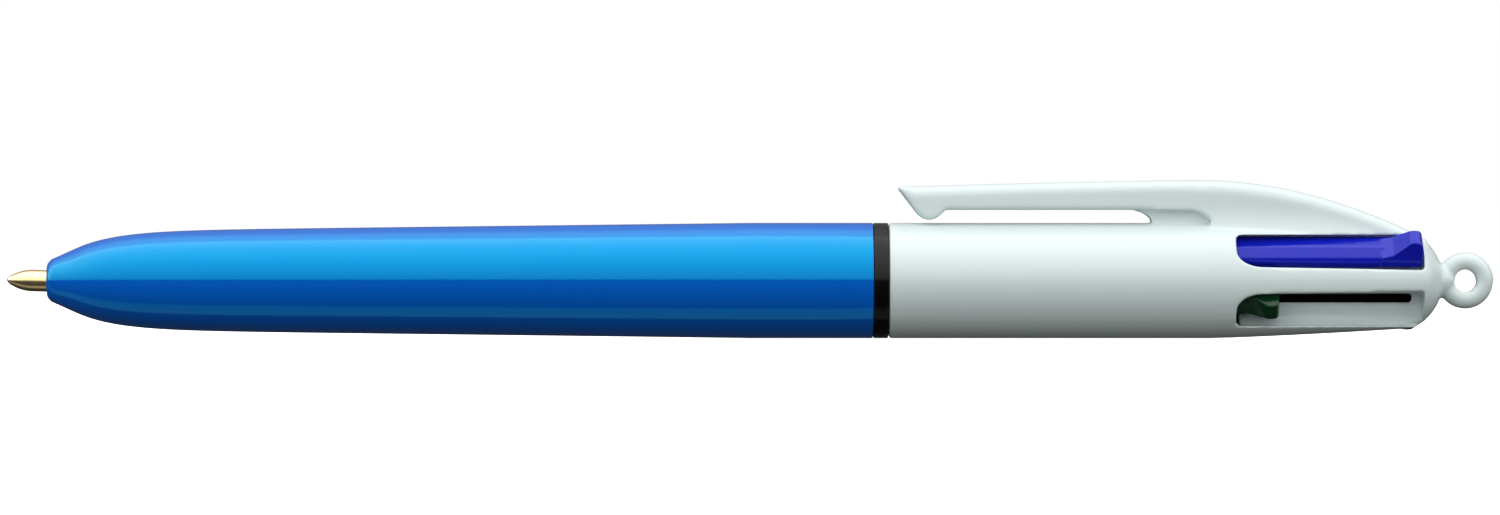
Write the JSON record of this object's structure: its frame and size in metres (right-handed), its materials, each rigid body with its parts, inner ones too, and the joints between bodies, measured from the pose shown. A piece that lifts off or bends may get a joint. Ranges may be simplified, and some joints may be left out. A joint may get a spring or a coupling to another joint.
{
  "type": "multicolor click pen",
  "caption": "Click pen with spring-returned colour sliders in a white upper barrel with pocket clip and lanyard ring, bending refills, and a screw-off lower barrel.",
  "frame": {"origin": "centre of the lanyard hole, on the pen axis", "axes": "+X along the pen towards the lanyard ring, the writing tip towards -X, +Z through the pocket clip, +Y along the lanyard hole"},
  "size_m": [0.1444, 0.0112, 0.0153],
  "materials": {
    "white_plastic": "glossy white ABS",
    "guide_plastic": "natural acetal",
    "black_plastic": "glossy black",
    "light_blue_plastic": "glossy light blue",
    "spring_steel": "drawn spring wire",
    "tube_plastic": "translucent tube",
    "brass": "turned brass",
    "ball_steel": "polished hard metal",
    "blue_slider_plastic": "glossy blue",
    "blue_ink": "blue ink paste",
    "red_slider_plastic": "glossy red",
    "red_ink": "red ink paste",
    "black_slider_plastic": "glossy black",
    "black_ink": "black ink paste",
    "green_slider_plastic": "glossy green",
    "green_ink": "green ink paste"
  },
  "bodies": {
    "upper": {"upper_barrel": "white_plastic", "refill_guide": "guide_plastic"},
    "clip": {"clip_arm": "white_plastic"},
    "collar": {"trim_ring": "black_plastic"},
    "lower": {"lower_barrel": "light_blue_plastic"},
    "blue_carriage": {"blue_refill_tube": "tube_plastic", "blue_ink": "blue_ink", "blue_spring": "spring_steel"},
    "blue_button": {"blue_slider": "blue_slider_plastic"},
    "blue_tip": {"blue_point": "brass", "blue_ball": "ball_steel"},
    "red_carriage": {"red_refill_tube": "tube_plastic", "red_ink": "red_ink", "red_spring": "spring_steel"},
    "red_button": {"red_slider": "red_slider_plastic"},
    "red_tip": {"red_point": "brass", "red_ball": "ball_steel"},
    "black_carriage": {"black_refill_tube": "tube_plastic", "black_ink": "black_ink", "black_spring": "spring_steel"},
    "black_button": {"black_slider": "black_slider_plastic"},
    "black_tip": {"black_point": "brass", "black_ball": "ball_steel"},
    "green_carriage": {"green_refill_tube": "tube_plastic", "green_ink": "green_ink", "green_spring": "spring_steel"},
    "green_button": {"green_slider": "green_slider_plastic"},
    "green_tip": {"green_point": "brass", "green_ball": "ball_steel"}
  },
  "joints": [
    {"name": "clip_flex", "type": "hinge", "parent": "upper", "child": "clip", "pos_m": [-0.02855, 0, 0.0083], "axis": [0, 1, 0], "range_deg": [0, 5], "stiffness_Nm_per_rad": 1.25},
    {"name": "barrel_advance", "type": "slide", "parent": "upper", "child": "collar", "axis": [-1, 0, 0], "range_m": [0, 0.00525]},
    {"name": "barrel_unscrew", "type": "hinge", "parent": "collar", "child": "lower", "pos_m": [-0.05755, 0, 0], "axis": [-1, 0, 0], "range_deg": [0, 1261]},
    {"name": "blue_slide", "type": "slide", "parent": "upper", "child": "blue_carriage", "axis": [-1, 0, 0], "range_m": [0, 0.0139], "stiffness_N_per_m": 60, "springref_m": -0.01, "deforming": ["blue_spring", "blue_refill_tube", "blue_ink", "blue_point", "blue_ball"]},
    {"name": "blue_rock", "type": "hinge", "parent": "blue_carriage", "child": "blue_button", "pos_m": [-0.02555, 0, 0.00173], "axis": [0, 1, 0], "range_deg": [0, 3.14]},
    {"name": "blue_lean", "type": "hinge", "parent": "blue_carriage", "child": "blue_tip", "pos_m": [-0.05325, -0.00173, 0.00173], "axis": [0, -0.7071, -0.7071], "range_deg": [0, 1.94]},
    {"name": "red_slide", "type": "slide", "parent": "upper", "child": "red_carriage", "axis": [-1, 0, 0], "range_m": [0, 0.0139], "stiffness_N_per_m": 60, "springref_m": -0.01, "deforming": ["red_spring", "red_refill_tube", "red_ink", "red_point", "red_ball"]},
    {"name": "red_rock", "type": "hinge", "parent": "red_carriage", "child": "red_button", "pos_m": [-0.02555, 0, 0.00173], "axis": [0, 1, 0], "range_deg": [0, 3.14]},
    {"name": "red_lean", "type": "hinge", "parent": "red_carriage", "child": "red_tip", "pos_m": [-0.05325, 0.00173, 0.00173], "axis": [0, -0.7071, 0.7071], "range_deg": [0, 1.94]},
    {"name": "black_slide", "type": "slide", "parent": "upper", "child": "black_carriage", "axis": [-1, 0, 0], "range_m": [0, 0.0139], "stiffness_N_per_m": 60, "springref_m": -0.01, "deforming": ["black_spring", "black_refill_tube", "black_ink", "black_point", "black_ball"]},
    {"name": "black_rock", "type": "hinge", "parent": "black_carriage", "child": "black_button", "pos_m": [-0.02555, 0, -0.00173], "axis": [0, -1, 0], "range_deg": [0, 3.14]},
    {"name": "black_lean", "type": "hinge", "parent": "black_carriage", "child": "black_tip", "pos_m": [-0.05325, 0.00173, -0.00173], "axis": [0, 0.7071, 0.7071], "range_deg": [0, 1.94]},
    {"name": "green_slide", "type": "slide", "parent": "upper", "child": "green_carriage", "axis": [-1, 0, 0], "range_m": [-0.0139, 0], "stiffness_N_per_m": 60, "springref_m": -0.0239, "deforming": ["green_spring", "green_refill_tube", "green_ink", "green_point", "green_ball"]},
    {"name": "green_rock", "type": "hinge", "parent": "green_carriage", "child": "green_button", "pos_m": [-0.03945, 0, -0.00173], "axis": [0, -1, 0], "range_deg": [-3.14, 0]},
    {"name": "green_lean", "type": "hinge", "parent": "green_carriage", "child": "green_tip", "pos_m": [-0.06715, -0.00173, -0.00173], "axis": [0, 0.7071, -0.7071], "range_deg": [-1.94, 0]}
  ],
  "couplings": [
    {"joint": "barrel_unscrew", "follows": "barrel_advance", "rad_per_m": 4188.8},
    {"joint": "blue_rock", "follows": "blue_slide", "rad_per_m": 3.9358},
    {"joint": "blue_lean", "follows": "blue_slide", "rad_per_m": 2.4269},
    {"joint": "red_rock", "follows": "red_slide", "rad_per_m": 3.9358},
    {"joint": "red_lean", "follows": "red_slide", "rad_per_m": 2.4269},
    {"joint": "black_rock", "follows": "black_slide", "rad_per_m": 3.9358},
    {"joint": "black_lean", "follows": "black_slide", "rad_per_m": 2.4269},
    {"joint": "green_rock", "follows": "green_slide", "rad_per_m": 3.9358},
    {"joint": "green_lean", "follows": "green_slide", "rad_per_m": 2.4269}
  ]
}
